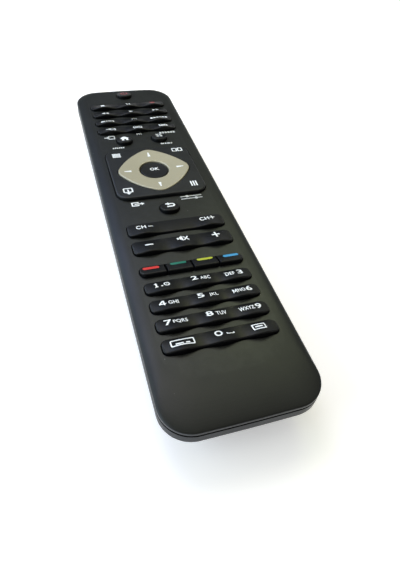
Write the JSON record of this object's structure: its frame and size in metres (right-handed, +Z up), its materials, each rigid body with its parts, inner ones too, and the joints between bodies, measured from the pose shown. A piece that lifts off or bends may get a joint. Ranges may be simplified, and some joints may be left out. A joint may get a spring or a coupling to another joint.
{
  "type": "tv remote control",
  "caption": "Slim hand-held remote control with wavy key strips, a square navigation block with a silver ring, and a sliding battery door.",
  "frame": {"origin": "middle of the flat belly it rests on, at the centre of its footprint", "axes": "+X to the right across the keys, +Y towards the infrared end, +Z up through the keys"},
  "size_m": [0.0506, 0.2024, 0.0222],
  "materials": {
    "shell": "fine texture, charcoal",
    "keys": "satin, near black",
    "nav_plate": "satin, near black",
    "ring": "silver beige paint",
    "ok_key": "satin, near black",
    "window": "smoked, glossy",
    "mat": "moulded silicone",
    "board": "solder mask",
    "pads": "plated",
    "chip": "moulded epoxy",
    "can": "satin can",
    "sender": "tinted clear epoxy",
    "cell": "printed sleeve",
    "contact_metal": "nickel plated",
    "screw": "black plated",
    "print": "screen printed legends"
  },
  "bodies": {
    "case": {"upper_case": "shell", "lower_case": "shell", "ir_window": "window", "circuit_board": "board", "contact_pads": "pads", "keypad_mat": "mat", "controller_chip": "chip", "resonator": "can", "capacitor": "can", "resistors": "chip", "ir_led": "sender", "ir_led_leads": "contact_metal", "battery_cell_left": "cell", "battery_cell_right": "cell", "link_contact": "contact_metal", "positive_contact": "contact_metal", "negative_contact": "contact_metal", "contact_springs": "contact_metal", "case_screws": "screw"},
    "battery_door": {"battery_door": "shell"},
    "power_key": {"power_key": "keys"},
    "home_key": {"home_key": "keys"},
    "app_key": {"app_key": "keys"},
    "back_key": {"back_key": "keys"},
    "stop_pause_record_key": {"stop_pause_record_key": "keys"},
    "rewind_play_forward_key": {"rewind_play_forward_key": "keys"},
    "function_row_key": {"function_row_key": "keys"},
    "input_row_key": {"input_row_key": "keys"},
    "volume_key": {"volume_key": "keys"},
    "digits_1_2_3_key": {"digits_1_2_3_key": "keys"},
    "digits_4_5_6_key": {"digits_4_5_6_key": "keys"},
    "digits_7_8_9_key": {"digits_7_8_9_key": "keys"},
    "digit_0_key": {"digit_0_key": "keys"},
    "red_key": {"red_key": "keys"},
    "green_key": {"green_key": "keys"},
    "yellow_key": {"yellow_key": "keys"},
    "blue_key": {"blue_key": "keys"},
    "ok_key": {"ok_key": "ok_key"},
    "channel_key": {"channel_key": "keys"},
    "ring_collar": {"ring_collar": "mat"},
    "direction_ring": {"direction_ring": "ring"},
    "plate_collar": {"plate_collar": "mat"},
    "nav_plate": {"nav_plate": "nav_plate"}
  },
  "joints": [
    {"name": "power_press", "type": "slide", "parent": "case", "child": "power_key", "axis": [0, 0, -1], "range_m": [0, 0.0008], "stiffness_N_per_m": 1500},
    {"name": "home_press", "type": "slide", "parent": "case", "child": "home_key", "axis": [0, 0, -1], "range_m": [0, 0.0008], "stiffness_N_per_m": 1500},
    {"name": "app_press", "type": "slide", "parent": "case", "child": "app_key", "axis": [0, 0, -1], "range_m": [0, 0.0008], "stiffness_N_per_m": 1500},
    {"name": "back_press", "type": "slide", "parent": "case", "child": "back_key", "axis": [0, 0, -1], "range_m": [0, 0.0008], "stiffness_N_per_m": 1500},
    {"name": "stop_pause_record_press", "type": "slide", "parent": "case", "child": "stop_pause_record_key", "axis": [0, 0, -1], "range_m": [0, 0.0008], "stiffness_N_per_m": 1500},
    {"name": "rewind_play_forward_press", "type": "slide", "parent": "case", "child": "rewind_play_forward_key", "axis": [0, 0, -1], "range_m": [0, 0.0008], "stiffness_N_per_m": 1500},
    {"name": "function_row_press", "type": "slide", "parent": "case", "child": "function_row_key", "axis": [0, 0, -1], "range_m": [0, 0.0008], "stiffness_N_per_m": 1500},
    {"name": "input_row_press", "type": "slide", "parent": "case", "child": "input_row_key", "axis": [0, 0, -1], "range_m": [0, 0.0008], "stiffness_N_per_m": 1500},
    {"name": "volume_press", "type": "slide", "parent": "case", "child": "volume_key", "axis": [0, 0, -1], "range_m": [0, 0.0008], "stiffness_N_per_m": 1500},
    {"name": "digits_1_2_3_press", "type": "slide", "parent": "case", "child": "digits_1_2_3_key", "axis": [0, 0, -1], "range_m": [0, 0.0008], "stiffness_N_per_m": 1500},
    {"name": "digits_4_5_6_press", "type": "slide", "parent": "case", "child": "digits_4_5_6_key", "axis": [0, 0, -1], "range_m": [0, 0.0008], "stiffness_N_per_m": 1500},
    {"name": "digits_7_8_9_press", "type": "slide", "parent": "case", "child": "digits_7_8_9_key", "axis": [0, 0, -1], "range_m": [0, 0.0008], "stiffness_N_per_m": 1500},
    {"name": "digit_0_press", "type": "slide", "parent": "case", "child": "digit_0_key", "axis": [0, 0, -1], "range_m": [0, 0.0008], "stiffness_N_per_m": 1500},
    {"name": "red_press", "type": "slide", "parent": "case", "child": "red_key", "axis": [0, 0, -1], "range_m": [0, 0.0008], "stiffness_N_per_m": 1500},
    {"name": "green_press", "type": "slide", "parent": "case", "child": "green_key", "axis": [0, 0, -1], "range_m": [0, 0.0008], "stiffness_N_per_m": 1500},
    {"name": "yellow_press", "type": "slide", "parent": "case", "child": "yellow_key", "axis": [0, 0, -1], "range_m": [0, 0.0008], "stiffness_N_per_m": 1500},
    {"name": "blue_press", "type": "slide", "parent": "case", "child": "blue_key", "axis": [0, 0, -1], "range_m": [0, 0.0008], "stiffness_N_per_m": 1500},
    {"name": "ok_press", "type": "slide", "parent": "case", "child": "ok_key", "axis": [0, 0, -1], "range_m": [0, 0.0008], "stiffness_N_per_m": 1500},
    {"name": "channel_rock", "type": "hinge", "parent": "case", "child": "channel_key", "pos_m": [0, -0.0183, 0.0176], "axis": [0, 1, 0], "range_deg": [-2.5, 2.5], "stiffness_Nm_per_rad": 0.6},
    {"name": "ring_collar_rock", "type": "hinge", "parent": "case", "child": "ring_collar", "pos_m": [0, 0.0196, 0.01755], "axis": [0, 1, 0], "range_deg": [-2, 2], "stiffness_Nm_per_rad": 0.6},
    {"name": "direction_ring_rock", "type": "hinge", "parent": "ring_collar", "child": "direction_ring", "pos_m": [0, 0.0196, 0.01755], "axis": [1, 0, 0], "range_deg": [-2, 2], "stiffness_Nm_per_rad": 0.6},
    {"name": "plate_collar_rock", "type": "hinge", "parent": "case", "child": "plate_collar", "pos_m": [0, 0.0196, 0.01755], "axis": [0, 1, 0], "range_deg": [-1.5, 1.5], "stiffness_Nm_per_rad": 0.6},
    {"name": "nav_plate_rock", "type": "hinge", "parent": "plate_collar", "child": "nav_plate", "pos_m": [0, 0.0196, 0.01755], "axis": [1, 0, 0], "range_deg": [-1.5, 1.5], "stiffness_Nm_per_rad": 0.6},
    {"name": "battery_door_slide", "type": "slide", "parent": "case", "child": "battery_door", "axis": [0, -1, 0], "range_m": [0, 0.058]}
  ]
}
